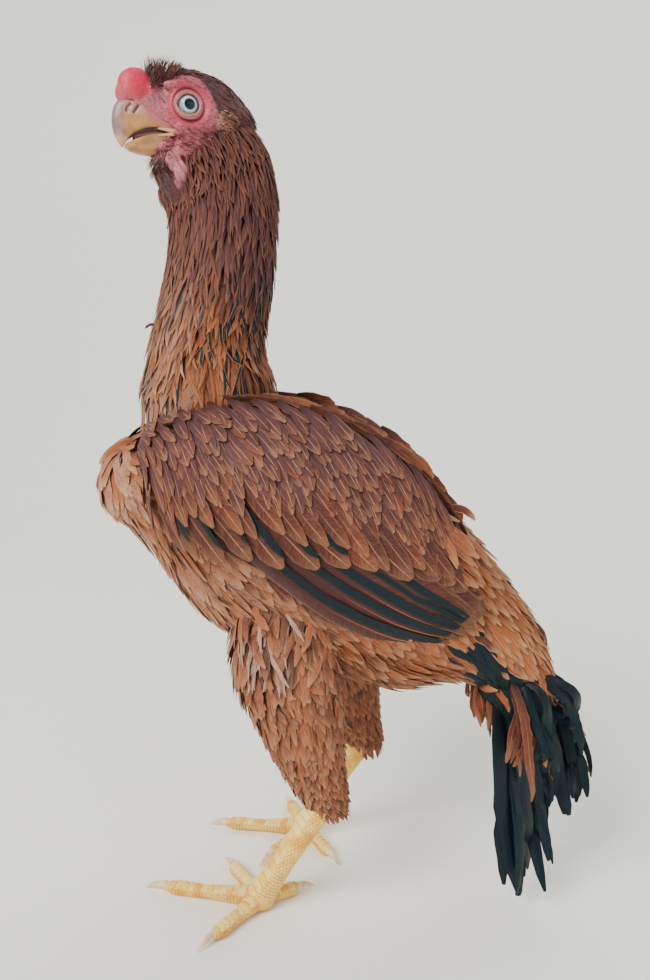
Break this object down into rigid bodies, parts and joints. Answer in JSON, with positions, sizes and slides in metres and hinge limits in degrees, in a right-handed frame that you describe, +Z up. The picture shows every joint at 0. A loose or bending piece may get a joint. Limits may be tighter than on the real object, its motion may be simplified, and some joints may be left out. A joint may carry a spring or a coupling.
{
  "type": "hen figure",
  "caption": "Life-size standing gamefowl hen with an upright neck, pea comb, short hooked beak, folded wings, drooping tail and bare scaled shanks, resting on its toes.",
  "frame": {"origin": "on the floor, under the middle of the box round the whole hen", "axes": "-X the way the body faces, +Y its right side, +Z up"},
  "size_m": [0.3536, 0.19, 0.554],
  "materials": {
    "brown_feather": "matt overlapping feathers, rust and cinnamon with dark bases and pale shafts",
    "dark_feather": "glossy blue-green black vanes",
    "face_skin": "bare pink-red skin, finely wrinkled",
    "horn": "satin yellow horn",
    "leg_scale": "pale yellow overlapping scales",
    "eye": "wet, pearl iris round a dark pupil"
  },
  "bodies": {
    "root": {"torso": "brown_feather", "neck": "brown_feather", "head": "face_skin", "beak_upper": "horn", "beak_lower": "horn", "comb": "face_skin", "eye_left": "eye", "eye_right": "eye", "ear_left": "face_skin", "ear_right": "face_skin", "wattle_left": "face_skin", "wattle_right": "face_skin", "wing_left": "brown_feather", "wing_right": "brown_feather", "tail": "dark_feather", "thigh_left": "brown_feather", "thigh_right": "brown_feather", "shank_left": "leg_scale", "shank_right": "leg_scale", "toe_left_inner": "leg_scale", "toe_left_middle": "leg_scale", "toe_left_outer": "leg_scale", "toe_left_hind": "leg_scale", "toe_right_inner": "leg_scale", "toe_right_middle": "leg_scale", "toe_right_outer": "leg_scale", "toe_right_hind": "leg_scale", "claw_left_inner": "horn", "claw_left_middle": "horn", "claw_left_outer": "horn", "claw_left_hind": "horn", "claw_right_inner": "horn", "claw_right_middle": "horn", "claw_right_outer": "horn", "claw_right_hind": "horn"}
  },
  "joints": []
}
